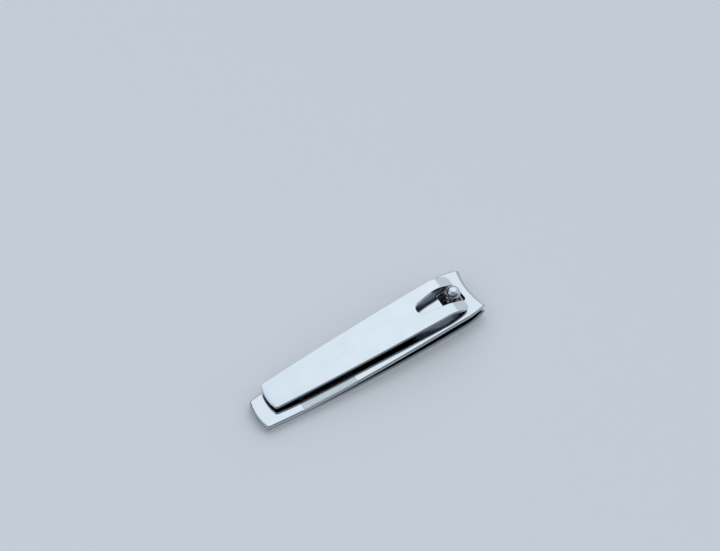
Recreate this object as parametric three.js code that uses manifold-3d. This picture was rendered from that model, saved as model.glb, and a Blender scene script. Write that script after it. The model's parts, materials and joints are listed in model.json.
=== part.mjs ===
// Lever-type nail clipper in its stored position: the lever lies flat along the two spring arms.
// Millimetres, +X from the joined rear end to the jaws, +Z up.
// The origin is under the middle of the object, on the plane that the lower arm rests on.
import * as THREE from 'three';
import { mergeVertices } from 'three/addons/utils/BufferGeometryUtils.js';
import Module from 'manifold-3d';

const wasm = await Module();
wasm.setup();

// Arms: two strips joined at the rear and spread apart towards the jaws
const length = 63.6;
const armThickness = 1.25;
const weldLength = 8.8;
const armSpread = 2.8;
const riseStart = 12;
const riseShare = 0.2;
const riseEnd = 16;
const jawBend = 0.35;
const jawBendLength = 6;

// Arms in plan
const rearHalfWidth = 4.4;
const rearCorner = 1.2;
const rearBulge = 0.4;
const sideBow = 0.55;
const taperLength = 48.8;
const jawHalfWidth = 6.9;
const jawCornerLength = 6.6;

// Cutting edges: hollow in plan, bevelled on the outer side
const edgeHalfWidth = 5.8;
const edgeDepth = 1.0;
const edgeLand = 0.15;

// File ribs pressed into the top of the upper arm
const fileStart = 10.8;
const fileLength = 15;
const filePitch = 0.55;
const fileDepth = 0.14;

// Pin: ball head, neck with a hook notch, shaft and countersunk foot
const pinInset = 6.3;
const ballRadius = 2.0;
const ballHeight = 7.25;
const neckRadius = 1.35;
const shaftRadius = 1.8;
const footRadius = 2.9;
const footRim = 0.2;
const footSetback = 0.15;

// Slot for the pin in the upper arm, measured from the pin's axis
const slotRear = 3.15;
const slotFront = 2.6;
const slotHalfWidth = 2.3;
const slotCorner = 0.6;

// Lever: flat handle, a kink, and two lobes joined by the crossbar that hooks under the ball
const leverLength = 55.0;
const leverThickness = 0.95;
const leverRearLift = 0.95;
const leverRearHalfWidth = 3.75;
const leverFrontHalfWidth = 5.4;
const leverRearCorner = 1.0;
const leverRearBulge = 0.45;
const leverBow = 0.25;
const leverTaperLength = 46.6;
const kinkHeight = 2.9;
const kinkSetback = 3.0;
const kinkLength = 1.4;
const crossbarOffset = 1.3;
const crossbarRadius = 0.42;
const lobeCorner = 1.3;
const lobeCornerLength = 2.6;
const openingLength = 12.2;
const openingHalfWidth = 2.55;
const openingRearRadius = 1.7;
const openingBow = 0.2;
const openingTaperLength = 9;
const leverSwing = THREE.MathUtils.degToRad(-2.2);

// Gap between pieces that move on each other
const clearance = 0.3;

// Places that follow from the sizes above
const rear = -length / 2;
const front = length / 2;
const weldEnd = rear + weldLength;
const jawStart = front - jawBendLength;
const pinX = front - pinInset;
const upperTop = 2 * armThickness + armSpread;
const footRimTop = footSetback + footRim;
const footConeTop = footRimTop + footRadius - shaftRadius;
const lobeTip = crossbarOffset + leverThickness / 2;
const leverRear = lobeTip - leverLength;
const leverRearBottom = 2 * armThickness + leverRearLift;
const crossbarHeight = upperTop + clearance + leverThickness / 2;
const beyond = jawHalfWidth + 2;

const satinSteel = { color: 0xc9d0d8, roughness: 0.22, metalness: 1 };
const brightSteel = { color: 0xd6dbe0, roughness: 0.08, metalness: 1 };

// Solids ------------------------------------------------------------------------------------

function toSolid(geometry) {
  geometry.deleteAttribute('normal');
  geometry.deleteAttribute('uv');
  const merged = mergeVertices(geometry, 1e-5);
  const mesh = new wasm.Mesh({
    numProp: 3,
    vertProperties: new Float32Array(merged.attributes.position.array),
    triVerts: new Uint32Array(merged.index.array),
  });
  return new wasm.Manifold(mesh);
}

function toNode(name, solid, finish) {
  const mesh = solid.getMesh();
  const geometry = new THREE.BufferGeometry();
  geometry.setAttribute('position', new THREE.BufferAttribute(mesh.vertProperties, 3));
  geometry.setIndex(new THREE.BufferAttribute(mesh.triVerts, 1));
  geometry.computeVertexNormals();
  const node = new THREE.Mesh(geometry, new THREE.MeshStandardMaterial(finish));
  node.name = name;
  return node;
}

// A plan outline, pulled up from bottom to top.
function raised(shape, bottom, top) {
  const geometry = new THREE.ExtrudeGeometry(shape, { depth: top - bottom, bevelEnabled: false });
  return toSolid(geometry.translate(0, 0, bottom));
}

// A side outline in X and Z, pulled across the middle plane.
function drawnAcross(shape, halfWidth) {
  const geometry = new THREE.ExtrudeGeometry(shape, { depth: 2 * halfWidth, bevelEnabled: false });
  return toSolid(geometry.rotateX(Math.PI / 2).translate(0, halfWidth, 0));
}

// A profile of [radius, height] corners, turned about the vertical through x.
function turned(profile, x, segments) {
  const points = profile.map(([radius, height]) => new THREE.Vector2(radius, height));
  const geometry = new THREE.LatheGeometry(points, segments);
  return toSolid(geometry.rotateX(Math.PI / 2).translate(x, 0, 0));
}

function block(xLow, xHigh, halfWidth, zLow, zHigh) {
  const geometry = new THREE.BoxGeometry(xHigh - xLow, 2 * halfWidth, zHigh - zLow);
  return toSolid(geometry.translate((xLow + xHigh) / 2, 0, (zLow + zHigh) / 2));
}

// Outlines ----------------------------------------------------------------------------------

// Side outline of a strip: its centre line thickened equally to both sides.
function stripOutline(centreline, thickness) {
  const over = [];
  const under = [];
  centreline.forEach((point, i) => {
    const before = centreline[Math.max(i - 1, 0)];
    const after = centreline[Math.min(i + 1, centreline.length - 1)];
    const along = after.clone().sub(before).normalize();
    const normal = new THREE.Vector2(-along.y, along.x);
    over.push(point.clone().addScaledVector(normal, thickness / 2));
    under.push(point.clone().addScaledVector(normal, -thickness / 2));
  });
  return new THREE.Shape([...under, ...over.reverse()]);
}

// Plan outline that is the same on both sides of the X axis, from its half above the axis.
function symmetricOutline(half) {
  const above = half.getPoints(12);
  const below = above.map((point) => new THREE.Vector2(point.x, -point.y)).reverse();
  const closed = [...above, ...below].reverse();
  return new THREE.Shape(closed.filter((point, i) => point.distanceTo(closed.at(i - 1)) > 1e-4));
}

// Starts an outline at its rear end, which bulges a little between rounded corners.
function rearEnd(path, x, halfWidth, corner, bulge) {
  path.moveTo(x, 0);
  path.quadraticCurveTo(x, halfWidth / 2, x + bulge, halfWidth - corner);
  path.quadraticCurveTo(x + bulge, halfWidth, x + bulge + corner, halfWidth);
}

// Carries an outline on to (x, y), the middle of the curve standing out by bow.
function bowTo(path, x, y, bow) {
  const from = path.currentPoint;
  path.quadraticCurveTo((from.x + x) / 2, (from.y + y) / 2 + 2 * bow, x, y);
}

// Arms --------------------------------------------------------------------------------------

function armPlan() {
  const half = new THREE.Path();
  rearEnd(half, rear, rearHalfWidth, rearCorner, rearBulge);
  bowTo(half, rear + taperLength, jawHalfWidth, sideBow);
  half.lineTo(front - jawCornerLength, jawHalfWidth);
  half.quadraticCurveTo(front - jawCornerLength / 2, jawHalfWidth, front, edgeHalfWidth);
  half.lineTo(front, 0);
  return symmetricOutline(half);
}

// Side view: flat where the arms are joined, a smooth rise, then the tip bent by "bend".
// It runs on past the front, where the plan outline ends the arm.
function armCentreline(seat, spread, bend) {
  const rise = new THREE.CubicBezierCurve(
    new THREE.Vector2(weldEnd, seat),
    new THREE.Vector2(weldEnd + riseStart, seat + riseShare * spread),
    new THREE.Vector2(jawStart - riseEnd, seat + spread),
    new THREE.Vector2(jawStart, seat + spread)
  );
  const tip = new THREE.QuadraticBezierCurve(
    new THREE.Vector2(jawStart, seat + spread),
    new THREE.Vector2(front - jawBendLength / 2, seat + spread),
    new THREE.Vector2(front, seat + spread + bend)
  );
  const beyondTip = new THREE.Vector2(front + jawBendLength / 2, seat + spread + 2 * bend);
  const steps = spread === 0 ? 1 : 30;
  const start = new THREE.Vector2(rear, seat);
  return [start, ...rise.getPoints(steps), ...tip.getPoints(6).slice(1), beyondTip];
}

// What the grinder takes off the jaw: a hollow front and a bevel that rises away from the edge.
// side is +1 for the upper jaw, whose bevel faces up, and -1 for the lower one.
function edgeCutter(edgeZ, side) {
  const hollowRadius = (edgeHalfWidth ** 2 + edgeDepth ** 2) / (2 * edgeDepth);
  const bevel = 3 * armThickness;
  const profile = [
    [0, edgeZ - side * armThickness],
    [hollowRadius, edgeZ - side * armThickness],
    [hollowRadius, edgeZ + side * edgeLand],
    [hollowRadius + bevel, edgeZ + side * (edgeLand + bevel)],
    [0, edgeZ + side * (edgeLand + bevel)],
  ];
  return turned(side > 0 ? profile : profile.reverse(), front - edgeDepth + hollowRadius, 180);
}

function upperArm() {
  const seat = 1.5 * armThickness;
  const line = armCentreline(seat, armSpread, -jawBend);
  let arm = drawnAcross(stripOutline(line, armThickness), beyond);
  arm = arm.intersect(raised(armPlan(), -armThickness, 2 * upperTop));
  arm = arm.subtract(edgeCutter(armThickness + armSpread - jawBend, 1));
  arm = arm.subtract(pinSlot());
  return fileRibs(line).reduce((cut, rib) => cut.subtract(rib), arm);
}

function lowerArm() {
  const line = armCentreline(armThickness / 2, 0, jawBend);
  let arm = drawnAcross(stripOutline(line, armThickness), beyond);
  arm = arm.intersect(raised(armPlan(), -armThickness, upperTop));
  arm = arm.subtract(edgeCutter(armThickness + jawBend, -1));
  return arm.subtract(footSeat());
}

function pinSlot() {
  const low = pinX - slotRear;
  const high = pinX + slotFront;
  const shape = new THREE.Shape();
  shape.absarc(high - slotCorner, slotHalfWidth - slotCorner, slotCorner, 0, Math.PI / 2);
  shape.absarc(low + slotCorner, slotHalfWidth - slotCorner, slotCorner, Math.PI / 2, Math.PI);
  shape.absarc(low + slotCorner, slotCorner - slotHalfWidth, slotCorner, Math.PI, 1.5 * Math.PI);
  shape.absarc(high - slotCorner, slotCorner - slotHalfWidth, slotCorner, 1.5 * Math.PI, 2 * Math.PI);
  return raised(new THREE.Shape(shape.getPoints(5)), armThickness + armSpread / 2, 2 * upperTop);
}

// Countersunk seat in the underside of the lower arm, wider than the pin by the clearance.
function footSeat() {
  const profile = [
    [0, -armThickness],
    [footRadius + clearance, -armThickness],
    [footRadius + clearance, footRimTop],
    [shaftRadius + clearance, footConeTop],
    [shaftRadius + clearance, 2 * armThickness],
    [0, 2 * armThickness],
  ];
  return turned(profile, pinX, 36);
}

// Triangular grooves across the upper arm, their points below its top surface.
function fileRibs(line) {
  const count = Math.floor(fileLength / filePitch);
  const top = (x) => {
    const after = line.findIndex((point) => point.x > x);
    const [from, to] = [line[after - 1], line[after]];
    const share = (x - from.x) / (to.x - from.x);
    return from.y + share * (to.y - from.y) + armThickness / 2;
  };
  return Array.from({ length: count }, (_, i) => {
    const x = rear + fileStart + i * filePitch;
    const z = top(x);
    const groove = new THREE.Shape([
      new THREE.Vector2(x, z - fileDepth),
      new THREE.Vector2(x + filePitch, z + fileDepth),
      new THREE.Vector2(x - filePitch, z + fileDepth),
    ]);
    return drawnAcross(groove, beyond);
  });
}

// Pin ---------------------------------------------------------------------------------------

function pin() {
  const ballStart = Math.asin(neckRadius / ballRadius);
  const arcSteps = 14;
  const ball = Array.from({ length: arcSteps }, (_, i) => {
    const angle = ballStart + ((Math.PI - ballStart) * i) / arcSteps;
    return [ballRadius * Math.sin(angle), ballHeight - ballRadius * Math.cos(angle)];
  });
  const shaftTop = upperTop - clearance;
  const body = turned(
    [
      [0, footSetback],
      [footRadius, footSetback],
      [footRadius, footRimTop],
      [shaftRadius, footConeTop],
      [shaftRadius, shaftTop],
      [neckRadius, shaftTop + shaftRadius - neckRadius],
      ...ball,
      [0, ballHeight + ballRadius],
    ],
    0,
    32
  );
  const reach = crossbarRadius + clearance;
  const notch = block(
    crossbarOffset - reach,
    crossbarOffset + 2 * ballRadius,
    2 * ballRadius,
    crossbarHeight - reach,
    crossbarHeight + reach
  );
  return body.subtract(notch);
}

// Lever -------------------------------------------------------------------------------------

function leverPlan() {
  const half = new THREE.Path();
  rearEnd(half, leverRear, leverRearHalfWidth, leverRearCorner, leverRearBulge);
  bowTo(half, leverRear + leverTaperLength, leverFrontHalfWidth, leverBow);
  half.lineTo(lobeTip - lobeCornerLength, leverFrontHalfWidth);
  half.quadraticCurveTo(lobeTip, leverFrontHalfWidth, lobeTip, leverFrontHalfWidth - lobeCorner);
  half.lineTo(lobeTip, 0);
  return symmetricOutline(half);
}

// The opening that lets the ball through: a teardrop, round and narrow towards the rear,
// that runs out at the front between the two lobes.
function openingPlan() {
  const openingRear = lobeTip - openingLength;
  const half = new THREE.Path();
  half.absarc(openingRear + openingRearRadius, 0, openingRearRadius, Math.PI, Math.PI / 2, true);
  bowTo(half, openingRear + openingTaperLength, openingHalfWidth, openingBow);
  half.lineTo(lobeTip + lobeCorner, openingHalfWidth);
  return symmetricOutline(half);
}

// Side view: straight handle, rounded kink, lobe that ends on the crossbar's axis.
function leverCentreline() {
  const handleEnd = new THREE.Vector2(leverRear, leverRearBottom + leverThickness / 2);
  const kink = new THREE.Vector2(-kinkSetback, upperTop + kinkHeight);
  const crossbar = new THREE.Vector2(crossbarOffset, crossbarHeight);
  const near = (end) => end.clone().sub(kink).setLength(kinkLength).add(kink);
  const bend = new THREE.QuadraticBezierCurve(near(handleEnd), kink, near(crossbar));
  return [handleEnd, ...bend.getPoints(8), crossbar];
}

// A rod on the crossbar's axis.
function crossRod(radius, halfWidth) {
  const rod = new THREE.CylinderGeometry(radius, radius, 2 * halfWidth, 20);
  return toSolid(rod.translate(crossbarOffset, 0, crossbarHeight));
}

function lever() {
  const strip = drawnAcross(stripOutline(leverCentreline(), leverThickness), beyond);
  const rounded = strip.add(crossRod(leverThickness / 2, beyond));
  const blank = rounded.intersect(raised(leverPlan(), 0, 2 * upperTop));
  const fork = blank.subtract(raised(openingPlan(), 0, 2 * upperTop));
  return fork.add(crossRod(crossbarRadius, openingHalfWidth + leverThickness / 2));
}

// Assembly ----------------------------------------------------------------------------------

const clipper = new THREE.Group();
clipper.add(toNode('lower_arm', lowerArm(), satinSteel));
clipper.add(toNode('upper_arm', upperArm(), satinSteel));

const turning = new THREE.Group();
turning.position.x = pinX;
turning.rotation.z = leverSwing;
turning.add(toNode('pin', pin(), brightSteel));
turning.add(toNode('lever', lever(), satinSteel));
clipper.add(turning);

export default clipper;
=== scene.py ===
import json
import math

import bmesh
import bpy
import numpy as np
from mathutils import Matrix, Vector
from mathutils.geometry import delaunay_2d_cdt


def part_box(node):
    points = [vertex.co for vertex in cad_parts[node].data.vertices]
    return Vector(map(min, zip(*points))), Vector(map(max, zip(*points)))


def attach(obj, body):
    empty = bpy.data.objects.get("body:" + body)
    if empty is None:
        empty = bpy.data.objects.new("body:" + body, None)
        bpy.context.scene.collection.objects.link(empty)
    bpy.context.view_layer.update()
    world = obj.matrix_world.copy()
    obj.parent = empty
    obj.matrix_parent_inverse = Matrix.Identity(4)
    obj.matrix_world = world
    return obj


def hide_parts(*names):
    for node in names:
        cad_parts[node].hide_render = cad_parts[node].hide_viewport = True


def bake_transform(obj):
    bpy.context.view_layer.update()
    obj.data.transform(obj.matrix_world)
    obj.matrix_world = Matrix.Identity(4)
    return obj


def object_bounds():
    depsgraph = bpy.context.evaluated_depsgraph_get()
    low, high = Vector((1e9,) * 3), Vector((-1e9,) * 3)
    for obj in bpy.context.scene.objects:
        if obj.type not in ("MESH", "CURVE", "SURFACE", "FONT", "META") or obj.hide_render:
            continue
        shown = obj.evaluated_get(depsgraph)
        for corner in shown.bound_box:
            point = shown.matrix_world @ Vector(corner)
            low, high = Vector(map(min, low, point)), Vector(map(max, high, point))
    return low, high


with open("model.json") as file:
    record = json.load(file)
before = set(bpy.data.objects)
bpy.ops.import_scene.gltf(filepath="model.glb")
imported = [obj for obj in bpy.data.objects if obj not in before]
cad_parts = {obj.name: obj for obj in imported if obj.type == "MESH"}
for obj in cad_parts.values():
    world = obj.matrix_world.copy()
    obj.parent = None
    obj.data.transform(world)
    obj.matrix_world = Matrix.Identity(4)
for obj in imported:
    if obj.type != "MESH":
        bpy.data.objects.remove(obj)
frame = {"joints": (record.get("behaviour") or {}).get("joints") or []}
cad_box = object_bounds()

MM = 0.001

# Sizes that the frame gives -------------------------------------------------------------------

JOINTS = {joint["name"]: joint for joint in frame["joints"]}
ARM_LOW, ARM_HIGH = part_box("lower_arm")
PIN_LOW, PIN_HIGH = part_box("pin")

REAR = ARM_LOW.x
FRONT = ARM_HIGH.x
JAW_HALF_WIDTH = ARM_HIGH.y
WELD_END = JOINTS["jaw_close"]["pos_m"][0]
ARM_THICKNESS = JOINTS["jaw_close"]["pos_m"][2]
UPPER_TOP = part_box("upper_arm")[1].z
ARM_SPREAD = UPPER_TOP - 2 * ARM_THICKNESS
PIN_X = JOINTS["pin_swivel"]["pos_m"][0]
CROSSBAR_HEIGHT = JOINTS["lever_tilt"]["pos_m"][2]
CROSSBAR_OFFSET = math.dist(JOINTS["lever_tilt"]["pos_m"][:2], (PIN_X, 0))
LEVER_SWING = -math.atan2(JOINTS["lever_tilt"]["axis"][0], JOINTS["lever_tilt"]["axis"][1])

# Sizes of the pressed shapes, as the CAD model has them -----------------------------------------

RISE_START = 12 * MM
RISE_SHARE = 0.2
RISE_END = 16 * MM
JAW_BEND = 0.35 * MM
JAW_BEND_LENGTH = 6 * MM

REAR_HALF_WIDTH = 4.4 * MM
REAR_CORNER = 1.2 * MM
REAR_BULGE = 0.4 * MM
SIDE_BOW = 0.55 * MM
TAPER_LENGTH = 48.8 * MM
JAW_CORNER_LENGTH = 6.6 * MM

EDGE_HALF_WIDTH = 5.8 * MM
EDGE_DEPTH = 1.0 * MM
EDGE_LAND = 0.15 * MM

FILE_START = 10.8 * MM
FILE_RIBS = 27
FILE_PITCH = 0.55 * MM

SLOT_REAR = 3.15 * MM
SLOT_FRONT = 2.6 * MM
SLOT_HALF_WIDTH = 2.3 * MM
SLOT_CORNER = 0.6 * MM

BALL_RADIUS = 2.0 * MM
NECK_RADIUS = 1.35 * MM
SHAFT_RADIUS = 1.8 * MM
FOOT_RADIUS = 2.9 * MM
FOOT_RIM = 0.2 * MM
CLEARANCE = 0.3 * MM

LEVER_THICKNESS = 0.95 * MM
LEVER_LENGTH = 55.0 * MM
LEVER_REAR_LIFT = 0.95 * MM
LEVER_REAR_HALF_WIDTH = 3.75 * MM
LEVER_FRONT_HALF_WIDTH = 5.4 * MM
LEVER_REAR_CORNER = 1.0 * MM
LEVER_REAR_BULGE = 0.45 * MM
LEVER_BOW = 0.25 * MM
LEVER_TAPER_LENGTH = 46.6 * MM
KINK_HEIGHT = 2.9 * MM
KINK_SETBACK = 3.0 * MM
KINK_LENGTH = 1.4 * MM
CROSSBAR_RADIUS = 0.42 * MM
LOBE_CORNER = 1.3 * MM
LOBE_CORNER_LENGTH = 2.6 * MM
OPENING_LENGTH = 12.2 * MM
OPENING_HALF_WIDTH = 2.55 * MM
OPENING_REAR_RADIUS = 1.7 * MM
OPENING_BOW = 0.2 * MM
OPENING_TAPER_LENGTH = 9 * MM

# Details that the CAD model leaves simpler ------------------------------------------------------

# Grooves between the file's ribs: how deep, and how far to each side of their bottom they
# reach, as shares of the pitch
FILE_DEPTH = 0.16 * MM
GROOVE_REAR = 0.06
GROOVE_FRONT = 0.28

# Roundings that polishing leaves
ARM_ROUNDING = 0.5 * MM
LEVER_ROUNDING = 0.15 * MM
EDGE_ROUNDING = 0.02 * MM
SLOT_ROUNDING = 0.12 * MM
ROUNDING_SLOPE = 0.35
LOBE_INNER_CORNER = 0.5 * MM
LOBE_FULLNESS = 0.98
FOOT_CHAMFER_WIDTH = 0.12 * MM
FOOT_CHAMFER_HEIGHT = 0.1 * MM

# How fine the meshes are ------------------------------------------------------------------------

ROUNDING_STEPS = 8
SIDE_STEP = 0.4 * MM
JAW_CORNER_POINTS = 24
GRID_STEP = 0.5 * MM
GRID_ROWS = 23
RIB_POINTS = 21
LEVER_STEP = 1 * MM
LEVER_BEND_STEP = 0.2 * MM
LEVER_BEND_RUN = 10 * MM
LEVER_ROWS = 19
PIN_SIDES = 96
BALL_RINGS = 40
BALL_OPENING = 0.03
FOOT_OPENING = 0.02 * MM
SAME_PLACE = 0.0001 * MM
SHARP_ANGLE = math.radians(34)

# Room left between inner points and the lines that the faces follow
RIB_MARGIN = 0.05 * MM
CREASE_MARGIN = 0.12 * MM
SLOT_MARGIN = 0.4 * MM
SEAT_MARGIN = 0.15 * MM
SEAT_HALF_STEP = 0.01 * MM

# Sizes that follow from those above -------------------------------------------------------------

EDGE_RADIUS = (EDGE_HALF_WIDTH ** 2 + EDGE_DEPTH ** 2) / (2 * EDGE_DEPTH)
EDGE_CENTRE = FRONT - EDGE_DEPTH + EDGE_RADIUS
BEVEL = ARM_THICKNESS - EDGE_LAND
NOTCH_REACH = CROSSBAR_RADIUS + CLEARANCE
SEAT_RADIUS = FOOT_RADIUS + CLEARANCE
SEAT_RIM = PIN_LOW.z + FOOT_RIM
SEAT_TOP_RADIUS = SEAT_RADIUS + SEAT_RIM - ARM_THICKNESS + 2 * EDGE_ROUNDING
LOBE_TIP = CROSSBAR_OFFSET + LEVER_THICKNESS / 2
LEVER_REAR = LOBE_TIP - LEVER_LENGTH

# Outlines: arrays of [x, y] rows ----------------------------------------------------------------


def bezier(points, count=40):
    """A Bezier curve through its control points, as rows, without its first point."""
    share = np.linspace(0, 1, count + 1)[1:, None]
    rows = [np.array(point, float)[None, :] for point in points]
    while len(rows) > 1:
        rows = [(1 - share) * a + share * b for a, b in zip(rows, rows[1:])]
    return rows[0]


def line(start, end, count=40):
    return bezier([start, end], count)


def bowed(start, end, bow, count=60):
    """A curve from start to end whose middle stands out by bow in Y."""
    middle = ((start[0] + end[0]) / 2, (start[1] + end[1]) / 2 + 2 * bow)
    return bezier([start, middle, end], count)


def arc(x, y, radius, angles):
    return np.stack([x + radius * np.cos(angles), y + radius * np.sin(angles)], axis=1)


def circle(x, radius, count=72):
    """A round hole's outline, clockwise."""
    return arc(x, 0, radius, -np.linspace(0, 2 * math.pi, count, endpoint=False))


def rear_end(x, half_width, corner, bulge, count=10):
    """The +Y half of a rear end that bulges a little between rounded corners."""
    side = (x + bulge, half_width - corner)
    corner_end = (x + bulge + corner, half_width)
    bulging = bezier([(x, 0), (x, half_width / 2), side], count)
    return np.vstack([bulging, bezier([side, (x + bulge, half_width), corner_end], count)])


def inside(points, loop):
    """Which points lie in the closed loop."""
    x, y = points[:, 0], points[:, 1]
    found = np.zeros(len(points), bool)
    for (xa, ya), (xb, yb) in zip(loop, np.roll(loop, -1, axis=0)):
        if ya != yb:
            crosses = (ya > y) != (yb > y)
            found ^= crosses & (x < xa + (y - ya) * (xb - xa) / (yb - ya))
    return found


def nearest(points, others):
    """How far each point is from the nearest of the others."""
    return np.array([np.hypot(*(others - point).T).min() for point in points])


def inward(loop):
    """Unit normals into the solid: into an anticlockwise outline, out of a clockwise hole."""
    along = np.roll(loop, -1, axis=0) - loop
    along /= np.linalg.norm(along, axis=1)[:, None]
    normal = np.stack([-along[:, 1], along[:, 0]], axis=1)
    mean = normal + np.roll(normal, 1, axis=0)
    mean /= np.linalg.norm(mean, axis=1)[:, None]
    spread = np.clip((mean * normal).sum(axis=1), 0.6, 1)
    return mean / spread[:, None]


# Strips: flat plates with rounded edges, bent along a centre line --------------------------------


class Centreline:
    """A line in X and Z that a strip follows. Places on it are lengths along it."""

    def __init__(self, points):
        self.points = points
        step = np.diff(points, axis=0)
        lengths = np.hypot(step[:, 0], step[:, 1])
        self.along = np.concatenate([[0], np.cumsum(lengths)])
        slopes = np.unwrap(np.arctan2(step[:, 1], step[:, 0]))
        middle = (self.along[1:] + self.along[:-1]) / 2
        self.slope = np.interp(self.along, middle, slopes)

    def place(self, x):
        """The length along the line at x, which goes on straight past the line's front end."""
        beyond = np.clip(x - self.points[-1, 0], 0, None)
        return np.interp(x, self.points[:, 0], self.along) + beyond

    def laid(self, outline):
        """The outline with lengths along the line in place of its x."""
        return np.stack([self.place(outline[:, 0]), outline[:, 1]], axis=1)

    def bend(self, s, y, height):
        """Rows of [x, y, z] for lengths s, sideways places y and heights over the line."""
        slope = np.interp(s, self.along, self.slope)
        over = s - np.clip(s, 0, self.along[-1])
        x = np.interp(s, self.along, self.points[:, 0]) + over * np.cos(slope)
        z = np.interp(s, self.along, self.points[:, 1]) + over * np.sin(slope)
        return np.stack([x - height * np.sin(slope), y, z + height * np.cos(slope)], axis=1)


def strip(name, centreline, loops, roundings, grid, thickness, top=None, creases=()):
    """A plate of one outline and its holes. top(s, y) gives how much the upper face is cut
    down, grid holds inner points and creases are inner lines that the faces follow."""
    cut = top or (lambda s, y: np.zeros(len(s)))
    mesh = bmesh.new()
    rims = [
        rounded_edge(mesh, centreline, loop, rounding, thickness, cut)
        for loop, rounding in zip(loops, roundings)
    ]
    for side in (1, -1):
        cap(mesh, rims, side, centreline, grid, creases, thickness, cut)
    return finished(name, mesh)


def rounded_edge(mesh, centreline, loop, rounding, thickness, cut):
    """Makes the edge round one outline. Returns the outline that it leaves for the flat faces,
    and its first and last rings, which lie on them."""
    normal = inward(loop)
    angles = np.linspace(0, math.pi / 2, ROUNDING_STEPS + 1)
    rings = []
    for side, turns in ((1, angles), (-1, angles[::-1])):
        for angle in turns:
            inset = rounding * (1 - math.sin(angle))
            flat = loop + normal * inset[:, None]
            height = side * (thickness / 2 - rounding * (1 - math.cos(angle)))
            if side > 0:
                height -= cut(flat[:, 0], flat[:, 1])
            rows = centreline.bend(flat[:, 0], flat[:, 1], height)
            rings.append([mesh.verts.new(row) for row in rows])
    skin(mesh, rings)
    return loop + normal * rounding[:, None], rings[0], rings[-1]


def skin(mesh, rings):
    """Faces between each ring of vertices and the one below it."""
    for upper, lower in zip(rings, rings[1:]):
        for i in range(len(upper)):
            j = (i + 1) % len(upper)
            mesh.faces.new([upper[j], upper[i], lower[i], lower[j]])


def cap(mesh, rims, side, centreline, grid, creases, thickness, cut):
    """Fills the upper (side 1) or lower (side -1) face of a strip between its rims."""
    points = []
    edges = []
    corners = []
    for flat, upper, lower in rims:
        first = len(points)
        points.extend(flat)
        corners.extend(upper if side > 0 else lower)
        edges.extend((first + i, first + (i + 1) % len(flat)) for i in range(len(flat)))
    first = len(points) + len(grid)
    for crease in creases:
        edges.extend((first + i, first + i + 1) for i in range(len(crease) - 1))
        first += len(crease)
    inner = np.vstack([grid, *creases])
    height = side * thickness / 2 - (cut(inner[:, 0], inner[:, 1]) if side > 0 else 0)
    rows = centreline.bend(inner[:, 0], inner[:, 1], height)
    corners.extend(mesh.verts.new(row) for row in rows)
    points.extend(inner)
    for face in triangles(points, edges, rims):
        chosen = [corners[i] for i in face]
        mesh.faces.new(chosen if side > 0 else chosen[::-1])


def triangles(points, edges, rims):
    """Triangles between the points, along the edges, in the first rim but not in the others."""
    scaled = [Vector(point) / MM for point in points]
    whole_hull = 0
    tolerance = 1e-5
    made, _, faces, origins, _, _ = delaunay_2d_cdt(scaled, edges, [], whole_hull, tolerance)
    flat = np.array([[point.x, point.y] for point in made])
    centres = np.array([flat[list(face)].mean(axis=0) for face in faces])
    solid = inside(centres, rims[0][0] / MM)
    for hole, _, _ in rims[1:]:
        solid &= ~inside(centres, hole / MM)
    return [
        [origins[i][0] for i in face]
        for face, within in zip(faces, solid)
        if within and all(origins[i] for i in face)
    ]


def finished(name, mesh):
    """The piece as an object, smooth apart from its real edges."""
    loose = [vertex for vertex in mesh.verts if not vertex.link_faces]
    bmesh.ops.delete(mesh, geom=loose, context="VERTS")
    bmesh.ops.recalc_face_normals(mesh, faces=mesh.faces)
    data = bpy.data.meshes.new(name)
    mesh.to_mesh(data)
    mesh.free()
    data.polygons.foreach_set("use_smooth", [True] * len(data.polygons))
    data.set_sharp_from_angle(angle=SHARP_ANGLE)
    piece = bpy.data.objects.new(name, data)
    bpy.context.scene.collection.objects.link(piece)
    weighted = piece.modifiers.new("even_faces", "WEIGHTED_NORMAL")
    weighted.keep_sharp = True
    weighted.weight = 100
    return piece


def grid_in(loops, margins, stations, rows):
    """Inner points at the stations and rows, at least a margin away from every outline."""
    s, y = np.meshgrid(stations, rows, indexing="ij")
    points = np.stack([s.ravel(), y.ravel()], axis=1)
    keep = inside(points, loops[0])
    for hole in loops[1:]:
        keep &= ~inside(points, hole)
    for loop, margin in zip(loops, margins):
        keep &= nearest(points, loop) > margin
    return points[keep]


# Arms -------------------------------------------------------------------------------------------


def arm_half():
    """The +Y half of the arm's outline, from the rear to the tip of the jaw."""
    end = rear_end(REAR, REAR_HALF_WIDTH, REAR_CORNER, REAR_BULGE)
    taper_end = (REAR + TAPER_LENGTH, JAW_HALF_WIDTH)
    jaw_start = (FRONT - JAW_CORNER_LENGTH, JAW_HALF_WIDTH)
    corner = (FRONT - JAW_CORNER_LENGTH / 2, JAW_HALF_WIDTH)
    return np.vstack([
        end,
        bowed(end[-1], taper_end, SIDE_BOW, 1200),
        line(taper_end, jaw_start, 100),
        bezier([jaw_start, corner, (FRONT, EDGE_HALF_WIDTH)], 120),
    ])


def hollow_edge(radius_over=0.0, half_width=EDGE_HALF_WIDTH, count=48):
    """The hollow front, or a curve behind it, as rows from the -Y to the +Y corner."""
    y = np.linspace(-half_width, half_width, count)
    x = EDGE_CENTRE - np.sqrt((EDGE_RADIUS + radius_over) ** 2 - y ** 2)
    return np.stack([x, y], axis=1)


def distance_to_hollow(x, y):
    return np.hypot(x - EDGE_CENTRE, y) - EDGE_RADIUS


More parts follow.
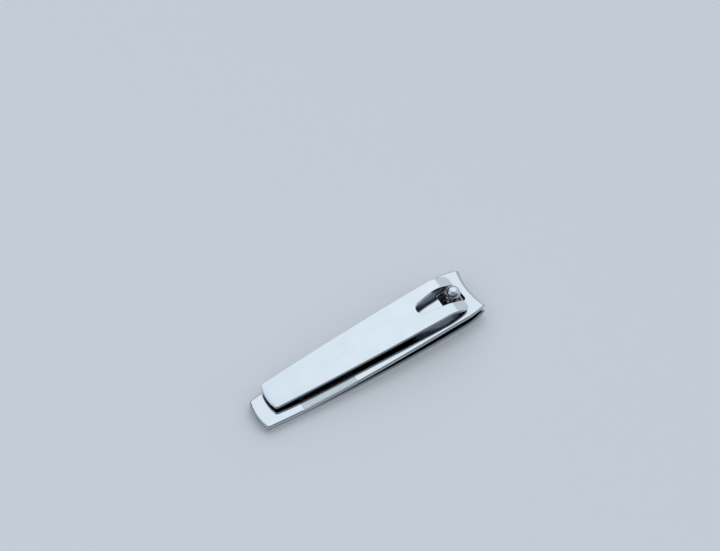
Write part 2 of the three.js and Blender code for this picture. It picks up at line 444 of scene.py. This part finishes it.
def arm_centreline(seat, spread):
    """Flat on the weld, up by the spread in a slow curve, and down a little at the jaw."""
    jaw_start = FRONT - JAW_BEND_LENGTH
    high = seat + spread
    rise = bezier([
        (WELD_END, seat),
        (WELD_END + RISE_START, seat + RISE_SHARE * spread),
        (jaw_start - RISE_END, high),
        (jaw_start, high),
    ], 400)
    jaw_middle = (FRONT - JAW_BEND_LENGTH / 2, high)
    jaw = bezier([(jaw_start, high), jaw_middle, (FRONT, high - JAW_BEND)], 60)
    weld = line((REAR, seat), (WELD_END, seat), 60)
    return Centreline(np.vstack([[(REAR, seat)], weld, rise, jaw]))


def rib_stations():
    """Where the grooves between the ribs start, are deepest and end."""
    turns = np.arange(FILE_RIBS)[:, None] + np.array([-GROOVE_REAR, 0, GROOVE_FRONT])
    return REAR + FILE_START + FILE_PITCH * turns.ravel()


def ribs_cut(x, y):
    """How deep the grooves are, at any y: steep at the rear, sloping in front."""
    turns = (x - REAR - FILE_START) / FILE_PITCH
    from_deepest = turns - np.round(turns)
    slope = np.where(from_deepest < 0, GROOVE_REAR, GROOVE_FRONT)
    groove = np.clip(1 - np.abs(from_deepest) / slope, 0, 1)
    in_file = (turns > -0.5) & (turns < FILE_RIBS - 0.5)
    return FILE_DEPTH * groove * in_file


def rib_lines(centreline):
    """Lines across the arm along the edges and the bottom of every groove."""
    half = arm_half()
    stations = rib_stations()
    reach = np.interp(stations, half[:, 0], half[:, 1]) - ARM_ROUNDING - RIB_MARGIN
    across = np.linspace(-1, 1, RIB_POINTS)
    return [
        centreline.laid(np.stack([np.full(RIB_POINTS, x), side * across], axis=1))
        for x, side in zip(stations, reach)
    ]


def slot_outline():
    """The slot in the upper arm, clockwise."""
    low = PIN_X - SLOT_REAR + SLOT_CORNER
    high = PIN_X + SLOT_FRONT - SLOT_CORNER
    side = SLOT_HALF_WIDTH - SLOT_CORNER
    quarter = np.linspace(0, 1, 9)
    corners = [
        arc(x, y, SLOT_CORNER, (start + quarter) * math.pi / 2)
        for x, y, start in ((high, side, 0), (low, side, 1), (low, -side, 2), (high, -side, 3))
    ]
    return np.vstack(corners)[::-1]


def seat_cut(x, y):
    """How deep the pin's countersunk seat is, with an upright rim round it."""
    over = SEAT_RADIUS - np.hypot(x - PIN_X, y)
    return np.where(over > 0, SEAT_RIM + over, 0)


def seat_lines(centreline):
    """The upper and lower edges of the seat's upright rim."""
    return [
        centreline.laid(circle(PIN_X, SEAT_RADIUS + step))
        for step in (-SEAT_HALF_STEP, SEAT_HALF_STEP)
    ]


def arm_outline():
    """The arm's outline with points close enough for its curves and its ribs."""
    half = arm_half()
    corner_end = REAR + REAR_BULGE + REAR_CORNER
    corner = half[half[:, 0] <= corner_end + SAME_PLACE]
    ribs = rib_stations()
    jaw_start = FRONT - JAW_CORNER_LENGTH
    x = np.concatenate([
        np.arange(corner[-1, 0] + 0.75 * SIDE_STEP, ribs[0] - 0.25 * SIDE_STEP, SIDE_STEP),
        ribs,
        np.arange(ribs[-1] + SIDE_STEP, jaw_start, SIDE_STEP),
        np.linspace(jaw_start, FRONT, JAW_CORNER_POINTS),
    ])
    side = np.stack([x, np.interp(x, half[:, 0], half[:, 1])], axis=1)
    left = np.vstack([corner, side])
    right = left * [1, -1]
    return np.vstack([right, hollow_edge()[1:-1], left[::-1], [(REAR, 0)]])


def arm_rounding(outline):
    """Full along the sides, and less and less towards the cutting edge."""
    from_edge = np.abs(distance_to_hollow(outline[:, 0], outline[:, 1]))
    return np.clip(from_edge * ROUNDING_SLOPE, EDGE_ROUNDING, ARM_ROUNDING)


def arm_grid(centreline, loops, hole_margin, ribbed):
    """Inner points of an arm. The file has none, as its grooves have lines of their own."""
    x = np.arange(REAR + GRID_STEP, FRONT, GRID_STEP)
    if ribbed:
        ribs = rib_stations()
        x = x[(x < ribs[0] - 0.4 * GRID_STEP) | (x > ribs[-1] + 0.4 * GRID_STEP)]
    rows = np.linspace(-JAW_HALF_WIDTH, JAW_HALF_WIDTH, GRID_ROWS)
    margins = [ARM_ROUNDING + 0.5 * GRID_STEP, hole_margin]
    return grid_in(loops, margins, centreline.place(x), rows)


def bevel_line(centreline, loop):
    """Where the bevel starts, short of the rounded sides."""
    start = centreline.laid(hollow_edge(BEVEL, JAW_HALF_WIDTH))
    inner = start[inside(start, loop)]
    return inner[nearest(inner, loop) > 1.1 * ARM_ROUNDING]


def arm(name, seat, spread, side, hole, hole_rounding, hole_margin, cut_more, lines):
    """side is 1 for the upper jaw, whose bevel is on top, and -1 for the lower one. cut_more
    gives the depth of the shapes cut into the face with the bevel, along the given lines."""
    centreline = arm_centreline(seat, spread)
    outline = arm_outline()
    loops = [centreline.laid(outline), centreline.laid(hole)]
    roundings = [arm_rounding(outline), np.full(len(hole), hole_rounding)]

    def cut(s, y):
        x = np.interp(s, centreline.along, centreline.points[:, 0])
        return np.clip(BEVEL - distance_to_hollow(x, y), 0, BEVEL) + cut_more(x, y)

    crease = bevel_line(centreline, loops[0])
    grid = arm_grid(centreline, loops, hole_margin, side > 0)
    grid = grid[nearest(grid, crease) > CREASE_MARGIN]
    creases = [crease] + lines(centreline)
    piece = strip(name, centreline, loops, roundings, grid, ARM_THICKNESS, cut, creases)
    if side < 0:
        piece.data.transform(Matrix.Scale(-1, 4, (0, 0, 1)))
        piece.data.flip_normals()
    return piece


def build_upper_arm():
    """The welded rear lies on the lower arm, and the rest rises from it towards the jaw."""
    piece = arm(
        "upper_arm_body", seat=1.5 * ARM_THICKNESS, spread=ARM_SPREAD, side=1,
        hole=slot_outline(), hole_rounding=SLOT_ROUNDING, hole_margin=SLOT_MARGIN,
        cut_more=ribs_cut, lines=rib_lines,
    )
    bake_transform(piece)
    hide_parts("upper_arm")
    return piece


def build_lower_arm():
    """Made upside down, with its bevel and the pin's seat on top, and then turned over."""
    piece = arm(
        "lower_arm_body", seat=-ARM_THICKNESS / 2, spread=0, side=-1,
        hole=circle(PIN_X, SEAT_TOP_RADIUS), hole_rounding=EDGE_ROUNDING / 2,
        hole_margin=SEAT_RADIUS - SEAT_TOP_RADIUS + SEAT_MARGIN,
        cut_more=seat_cut, lines=seat_lines,
    )
    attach(piece, "lower_arm")
    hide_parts("lower_arm")
    return piece


# Pin --------------------------------------------------------------------------------------------


def pin_profile():
    """Rows of radius and height, from the middle of the foot to the top of the ball."""
    foot = PIN_LOW.z
    cone_top = foot + FOOT_RIM + FOOT_RADIUS - SHAFT_RADIUS
    shaft_top = UPPER_TOP - CLEARANCE
    ball_height = PIN_HIGH.z - BALL_RADIUS
    ball_start = math.asin(NECK_RADIUS / BALL_RADIUS)
    angles = np.linspace(ball_start, math.pi - BALL_OPENING, BALL_RINGS)
    ball = np.stack([
        BALL_RADIUS * np.sin(angles),
        ball_height - BALL_RADIUS * np.cos(angles),
    ], axis=1)
    return np.vstack([
        (FOOT_OPENING, foot),
        (FOOT_RADIUS - FOOT_CHAMFER_WIDTH, foot),
        (FOOT_RADIUS, foot + FOOT_CHAMFER_HEIGHT),
        (FOOT_RADIUS, foot + FOOT_RIM),
        (SHAFT_RADIUS, cone_top),
        (SHAFT_RADIUS, shaft_top),
        (NECK_RADIUS, shaft_top + SHAFT_RADIUS - NECK_RADIUS),
        ball,
    ])


def pin_rings():
    """Height, radius and whether the notch is cut in it, for each ring of the pin. The notch's
    floor and roof are each between two rings in nearly the same place."""
    profile = pin_profile()
    radii, heights = profile.T
    low = CROSSBAR_HEIGHT - NOTCH_REACH
    high = CROSSBAR_HEIGHT + NOTCH_REACH
    rings = [(z, radius, low < z < high) for radius, z in profile]
    for z, into_notch in ((low, SAME_PLACE), (high, -SAME_PLACE)):
        radius = np.interp(z, heights, radii)
        rings.append((z - into_notch, radius, False))
        rings.append((z + into_notch, radius, True))
    return sorted(rings, key=lambda ring: ring[0])


def build_pin():
    angles = np.linspace(0, 2 * math.pi, PIN_SIDES, endpoint=False)
    mesh = bmesh.new()
    made = []
    for z, radius, notched in pin_rings():
        outline = arc(0, 0, radius, angles)
        if notched:
            outline[:, 0] = np.minimum(outline[:, 0], CROSSBAR_OFFSET - NOTCH_REACH)
        made.append([mesh.verts.new((x, y, z)) for x, y in outline])
    skin(mesh, made[::-1])
    mesh.faces.new(made[0][::-1])
    mesh.faces.new(made[-1])
    bmesh.ops.transform(mesh, matrix=about_pin(), verts=mesh.verts)
    piece = finished("pin_body", mesh)
    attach(piece, "pin")
    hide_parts("pin")
    return piece


def about_pin():
    """From the pin's own axes, with the lever straight back, to its place in the part."""
    return Matrix.Translation((PIN_X, 0, 0)) @ Matrix.Rotation(LEVER_SWING, 4, "Z")


# Lever ------------------------------------------------------------------------------------------


def lever_centreline():
    """Straight from the rear to the kink, rounded there, and straight down to the crossbar."""
    rear_height = 2 * ARM_THICKNESS + LEVER_REAR_LIFT + LEVER_THICKNESS / 2
    handle_end = np.array([LEVER_REAR, rear_height])
    kink = np.array([-KINK_SETBACK, UPPER_TOP + KINK_HEIGHT])
    crossbar = np.array([CROSSBAR_OFFSET, CROSSBAR_HEIGHT])

    def near(end):
        return kink + (end - kink) * KINK_LENGTH / np.linalg.norm(end - kink)

    bend = bezier([near(handle_end), kink, near(crossbar)])
    handle = line(handle_end, near(handle_end), 60)
    lobes = line(near(crossbar), crossbar, 20)
    return Centreline(np.vstack([[handle_end], handle, bend, lobes]))


def lever_half():
    """The +Y half of the lever's outline, from the rear to the lobe's end."""
    end = rear_end(LEVER_REAR, LEVER_REAR_HALF_WIDTH, LEVER_REAR_CORNER, LEVER_REAR_BULGE)
    taper_end = (LEVER_REAR + LEVER_TAPER_LENGTH, LEVER_FRONT_HALF_WIDTH)
    lobe_start = (LOBE_TIP - LOBE_CORNER_LENGTH, LEVER_FRONT_HALF_WIDTH)
    lobe_corner = (LOBE_TIP, LEVER_FRONT_HALF_WIDTH)
    lobe_end = (LOBE_TIP, LEVER_FRONT_HALF_WIDTH - LOBE_CORNER)
    return np.vstack([
        end,
        bowed(end[-1], taper_end, LEVER_BOW, 90),
        line(taper_end, lobe_start, 10),
        bezier([lobe_start, lobe_corner, lobe_end], 16),
    ])


def opening_half():
    """The +Y half of the teardrop opening, from its rear to the inner corner of the lobe."""
    rear = LOBE_TIP - OPENING_LENGTH
    angles = np.linspace(math.pi, math.pi / 2, 16)
    end = arc(rear + OPENING_REAR_RADIUS, 0, OPENING_REAR_RADIUS, angles)
    wide = (rear + OPENING_TAPER_LENGTH, OPENING_HALF_WIDTH)
    side = bowed(end[-1], wide, OPENING_BOW, 30)
    run_out = line(wide, (LOBE_TIP - LOBE_INNER_CORNER, OPENING_HALF_WIDTH), 12)
    return np.vstack([end, side, run_out])


def lever_outline():
    """Round the lever, its lobes and the opening between them, which is open at the front."""
    outer = lever_half()
    corner_side = OPENING_HALF_WIDTH + LOBE_INNER_CORNER
    lobe_end = line(outer[-1], (LOBE_TIP, corner_side), 4)
    angles = np.linspace(0, -math.pi / 2, 7)[1:-1]
    corner = arc(LOBE_TIP - LOBE_INNER_CORNER, corner_side, LOBE_INNER_CORNER, angles)
    half = np.vstack([outer, lobe_end, corner, opening_half()[::-1][:-1]])
    loop = np.vstack([half * [1, -1], half[::-1][:-1], [(LEVER_REAR, 0)]])
    apart = np.linalg.norm(loop - np.roll(loop, 1, axis=0), axis=1) > SAME_PLACE
    return loop[apart]


def lever_rounding(outline):
    """Small along the sides, and nearly a full round at the ends of the lobes."""
    to_tip = np.clip((outline[:, 0] - LOBE_TIP + LEVER_THICKNESS) / LEVER_THICKNESS, 0, 1)
    return LEVER_ROUNDING + to_tip * (LEVER_THICKNESS / 2 - LEVER_ROUNDING) * LOBE_FULLNESS


def build_lever():
    centreline = lever_centreline()
    outline = lever_outline()
    loop = centreline.laid(outline)
    bend_start = centreline.along[-1] - LEVER_BEND_RUN
    stations = np.concatenate([
        np.arange(LEVER_STEP, bend_start, LEVER_STEP),
        np.arange(bend_start, centreline.along[-1] + 2 * LEVER_BEND_STEP, LEVER_BEND_STEP),
    ])
    rows = np.linspace(-LEVER_FRONT_HALF_WIDTH, LEVER_FRONT_HALF_WIDTH, LEVER_ROWS)
    grid = grid_in([loop], [LEVER_ROUNDING + LEVER_BEND_STEP], stations, rows)
    rounding = lever_rounding(outline)
    piece = strip("lever_body", centreline, [loop], [rounding], grid, LEVER_THICKNESS)
    piece.data.transform(about_pin())
    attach(piece, "lever")
    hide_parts("lever")
    return piece


def build_crossbar():
    mesh = bmesh.new()
    bmesh.ops.create_cone(
        mesh, cap_ends=True, segments=32, radius1=CROSSBAR_RADIUS, radius2=CROSSBAR_RADIUS,
        depth=2 * OPENING_HALF_WIDTH + LEVER_THICKNESS,
    )
    across = Matrix.Rotation(math.pi / 2, 4, "X")
    place = Matrix.Translation((CROSSBAR_OFFSET, 0, CROSSBAR_HEIGHT)) @ across
    bmesh.ops.transform(mesh, matrix=about_pin() @ place, verts=mesh.verts)
    piece = finished("lever_crossbar", mesh)
    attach(piece, "lever")
    return piece


# Materials --------------------------------------------------------------------------------------

SMEARS_SCALE = 160
SPECKS_SCALE = 2600
GRAIN_HEIGHT = 0.02 * MM
SPECK_HEIGHT = 0.01 * MM
NOISE_LOW = 0.3
NOISE_HIGH = 0.7
SMEARED_SHARE = 0.95

# Which faces are inner ones, which get painted shade: how upright their normals are, and how far
# below the top of the ball they lie, in its radii
LEVEL_NORMAL = 0.8
BALL_SHARE = 1.6


def noise(nodes, link, vector, scale, detail):
    texture = nodes.new("ShaderNodeTexNoise")
    texture.inputs["Scale"].default_value = scale
    texture.inputs["Detail"].default_value = detail
    link(vector, texture.inputs["Vector"])
    return texture.outputs["Fac"]


def bumped(nodes, link, height, strength, distance, under=None):
    """A normal with the height's bumps, on top of those of the normal under it."""
    bump = nodes.new("ShaderNodeBump")
    bump.inputs["Strength"].default_value = strength
    bump.inputs["Distance"].default_value = distance
    link(height, bump.inputs["Height"])
    if under is not None:
        link(under, bump.inputs["Normal"])
    return bump.outputs["Normal"]


def tinted(nodes, link, share, colour):
    """The colour, a little darker where the share is low."""
    ramp = nodes.new("ShaderNodeValToRGB")
    smeared, clean = ramp.color_ramp.elements
    smeared.position = NOISE_LOW
    smeared.color = (*[SMEARED_SHARE * channel for channel in colour], 1)
    clean.position = NOISE_HIGH
    clean.color = (*colour, 1)
    link(share, ramp.inputs["Fac"])
    return ramp.outputs["Color"]


def metal(name, colour, roughness, variation, grain_scale, grain_bump, speck_bump):
    """Polished plate: grain drawn out along the piece, faint smears and fine specks."""
    material = bpy.data.materials.new(name)
    material.use_nodes = True
    nodes = material.node_tree.nodes
    link = material.node_tree.links.new
    shader = nodes["Principled BSDF"]
    shader.inputs["Metallic"].default_value = 1
    place = nodes.new("ShaderNodeTexCoord").outputs["Object"]
    stretch = nodes.new("ShaderNodeMapping")
    stretch.inputs["Scale"].default_value = grain_scale
    link(place, stretch.inputs["Vector"])
    grain = noise(nodes, link, stretch.outputs["Vector"], 1, 6)
    smears = noise(nodes, link, place, SMEARS_SCALE, 3)
    specks = noise(nodes, link, place, SPECKS_SCALE, 4)
    link(tinted(nodes, link, smears, colour), shader.inputs["Base Color"])
    gloss = nodes.new("ShaderNodeMapRange")
    gloss.inputs["From Min"].default_value = NOISE_LOW
    gloss.inputs["From Max"].default_value = NOISE_HIGH
    gloss.inputs["To Min"].default_value = roughness - variation
    gloss.inputs["To Max"].default_value = roughness + variation
    link(grain, gloss.inputs["Value"])
    link(gloss.outputs["Result"], shader.inputs["Roughness"])
    coarse = bumped(nodes, link, grain, grain_bump, GRAIN_HEIGHT)
    fine = bumped(nodes, link, specks, speck_bump, SPECK_HEIGHT, under=coarse)
    link(fine, shader.inputs["Normal"])
    return material


def arm_steel():
    return metal("arm_steel", (0.60, 0.63, 0.66), 0.03, 0.01, (120, 1500, 1500), 0.06, 0.03)


def lever_steel():
    return metal("lever_steel", (0.62, 0.65, 0.68), 0.09, 0.02, (90, 1800, 1800), 0.06, 0.05)


# Painted shade: a darker, slightly rougher steel for faces between the arms, under the lever,
# below the ball and on the crossbar, whose dark colour stands in for the shade there
def painted_shade_steel():
    return metal("painted_shade_steel", (0.26, 0.27, 0.29), 0.16, 0.03, (90, 1800, 1800), 0.06, 0.05)


def pin_steel():
    return metal("pin_steel", (0.60, 0.62, 0.65), 0.07, 0.02, (200, 200, 3000), 0.05, 0.02)


def dress(piece, material, inner=None, is_inner=None):
    """Gives the piece its material, and the faces that is_inner picks the inner one, a darker
    steel that paints shade on them.
    """
    piece.data.materials.clear()
    piece.data.materials.append(material)
    if inner:
        piece.data.materials.append(inner)
        for face in piece.data.polygons:
            face.material_index = int(is_inner(face))


def facing_up(face):
    return face.normal.z > LEVEL_NORMAL


def facing_down(face):
    return face.normal.z < -LEVEL_NORMAL


def under_the_ball(face):
    return face.center.z < PIN_HIGH.z - BALL_SHARE * BALL_RADIUS


# Stage ------------------------------------------------------------------------------------------

FLOOR_SIZE = 2
FLOOR_GAP = 0.02 * MM
FLOOR_CONTACT = FLOOR_GAP + 2 * SEAT_RIM
FLOOR_COLOUR = (0.80, 0.81, 0.83)
FLOOR_ROUGHNESS = 0.7

SOFTBOX = (1.16, 1.27, 1.35)
SOFTBOX_REAR = (0.98, 1.10, 1.20)
FRONT_PANEL = (0.80, 0.86, 0.92)
GREY_ROOM = (0.31, 0.34, 0.38)
DARK_HORIZON = (0.02, 0.025, 0.03)
PALE_GROUND = (0.60, 0.64, 0.68)

# Where each part of the sky starts and is whole: heights, places along X, and for the softbox
# how nearly a direction is its axis
WALLS_FROM_HEIGHT = (0.20, 0.55)
HORIZON_FROM_HEIGHT = (-0.02, 0.0)
PANEL_FROM_X = (0.45, 0.85)
SOFTBOX_FRONT_FROM_X = (0.02, 0.16)
SOFTBOX_AXIS = (0.30, 0.42, 0.86)
SOFTBOX_FROM_AXIS = (0.66, 0.82)

# Name, place, size and power
LAMPS = (
    ("key", (-0.6, 0.1, 0.6), 0.6, 0.5),
    ("fill", (0.5, -0.4, 0.7), 0.5, 0.2),
)

CAMERA_AIM = (0.0119, 0.0202, 0)
CAMERA_SIDE = (-0.3043, -0.416, 0.857)
CAMERA_DISTANCE = 0.5747
CAMERA_ROLL = math.radians(2.6)
CAMERA_LENS = 114.7
CAMERA_SENSOR = 36
CAMERA_CLIP = 0.01


def build_floor():
    mesh = bmesh.new()
    bmesh.ops.create_grid(mesh, x_segments=1, y_segments=1, size=FLOOR_SIZE)
    data = bpy.data.meshes.new("floor")
    mesh.to_mesh(data)
    mesh.free()
    floor = bpy.data.objects.new("floor", data)
    bpy.context.scene.collection.objects.link(floor)
    floor.location.z = cad_box[0][2] - FLOOR_GAP
    data.materials.append(floor_paper())


def floor_paper():
    """Plain pale paper, clear from below and where the part lies on it."""
    material = bpy.data.materials.new("floor_paper")
    material.use_nodes = True
    nodes = material.node_tree.nodes
    link = material.node_tree.links.new
    paper = nodes["Principled BSDF"]
    paper.inputs["Base Color"].default_value = (*FLOOR_COLOUR, 1)
    paper.inputs["Roughness"].default_value = FLOOR_ROUGHNESS
    clear = nodes.new("ShaderNodeBsdfTransparent")
    side = nodes.new("ShaderNodeNewGeometry")
    path = nodes.new("ShaderNodeLightPath")
    touching = nodes.new("ShaderNodeMath")
    touching.operation = "LESS_THAN"
    touching.inputs[1].default_value = FLOOR_CONTACT
    link(path.outputs["Ray Length"], touching.inputs[0])
    either = nodes.new("ShaderNodeMath")
    either.operation = "MAXIMUM"
    link(side.outputs["Backfacing"], either.inputs[0])
    link(touching.outputs["Value"], either.inputs[1])
    choice = nodes.new("ShaderNodeMixShader")
    link(either.outputs["Value"], choice.inputs["Fac"])
    link(paper.outputs["BSDF"], choice.inputs[1])
    link(clear.outputs["BSDF"], choice.inputs[2])
    link(choice.outputs["Shader"], nodes["Material Output"].inputs["Surface"])
    return material


def rising(nodes, link, value, span):
    """0 below the span, 1 above it and a smooth step between."""
    step = nodes.new("ShaderNodeMapRange")
    step.interpolation_type = "SMOOTHSTEP"
    step.inputs["From Min"].default_value = span[0]
    step.inputs["From Max"].default_value = span[1]
    link(value, step.inputs["Value"])
    return step.outputs["Result"]


def colour_sockets(sockets):
    return [socket for socket in sockets if socket.type == "RGBA"]


def mixed(nodes, link, share, *colours):
    """The first colour where the share is 0, and the second where it is 1."""
    mix = nodes.new("ShaderNodeMix")
    mix.data_type = "RGBA"
    link(share, mix.inputs["Factor"])
    for socket, colour in zip(colour_sockets(mix.inputs), colours):
        if isinstance(colour, tuple):
            socket.default_value = (*colour, 1)
        else:
            link(colour, socket)
    return colour_sockets(mix.outputs)[0]


def build_sky():
    """A grey room with a dark horizon, a wide softbox across from the camera and a dim panel
    before the jaws. The ground is pale for looks from below."""
    world = bpy.data.worlds.new("tent")
    bpy.context.scene.world = world
    world.use_nodes = True
    nodes = world.node_tree.nodes
    link = world.node_tree.links.new
    direction = nodes.new("ShaderNodeTexCoord").outputs["Generated"]
    split = nodes.new("ShaderNodeSeparateXYZ")
    link(direction, split.inputs["Vector"])
    facing = nodes.new("ShaderNodeVectorMath")
    facing.operation = "DOT_PRODUCT"
    facing.inputs[1].default_value = Vector(SOFTBOX_AXIS).normalized()
    link(direction, facing.inputs[0])

    def layered(value, span, *colours):
        return mixed(nodes, link, rising(nodes, link, value, span), *colours)

    along_x = split.outputs["X"]
    height = split.outputs["Z"]
    walls = layered(height, WALLS_FROM_HEIGHT, DARK_HORIZON, GREY_ROOM)
    low = layered(height, HORIZON_FROM_HEIGHT, PALE_GROUND, walls)
    room = layered(along_x, PANEL_FROM_X, low, FRONT_PANEL)
    softbox = layered(along_x, SOFTBOX_FRONT_FROM_X, SOFTBOX_REAR, SOFTBOX)
    sky = layered(facing.outputs["Value"], SOFTBOX_FROM_AXIS, room, softbox)
    link(sky, nodes["Background"].inputs["Color"])


def build_lamps():
    for name, place, size, power in LAMPS:
        light = bpy.data.lights.new(name, "AREA")
        light.size = size
        light.energy = power
        lamp = bpy.data.objects.new(name, light)
        lamp.location = place
        lamp.rotation_euler = (-Vector(place)).to_track_quat("-Z", "Y").to_euler()
        bpy.context.scene.collection.objects.link(lamp)


def build_camera():
    """The photograph's view: from the rear and the right, 59 degrees up, slightly rolled."""
    away = Vector(CAMERA_SIDE).normalized()
    data = bpy.data.cameras.new("camera")
    data.lens = CAMERA_LENS
    data.sensor_width = CAMERA_SENSOR
    data.clip_start = CAMERA_CLIP
    camera = bpy.data.objects.new("camera", data)
    place = Matrix.Translation(Vector(CAMERA_AIM) + CAMERA_DISTANCE * away)
    level = (-away).to_track_quat("-Z", "Y").to_matrix().to_4x4()
    camera.matrix_world = place @ level @ Matrix.Rotation(CAMERA_ROLL, 4, "Z")
    bpy.context.scene.collection.objects.link(camera)
    bpy.context.scene.camera = camera


# Scene ------------------------------------------------------------------------------------------

arm_plate = arm_steel()
painted_shade_plate = painted_shade_steel()

# Painted shade: the darker steel goes on the faces between the arms, the lever's underside, the
# pin below its ball and the whole crossbar
dress(build_lower_arm(), arm_plate, painted_shade_plate, facing_up)
dress(build_upper_arm(), arm_plate, painted_shade_plate, facing_down)
dress(build_pin(), pin_steel(), painted_shade_plate, under_the_ball)
dress(build_lever(), lever_steel(), painted_shade_plate, facing_down)
dress(build_crossbar(), painted_shade_plate)
build_floor()
build_sky()
build_lamps()
build_camera()
bpy.context.scene.view_settings.view_transform = "Standard"
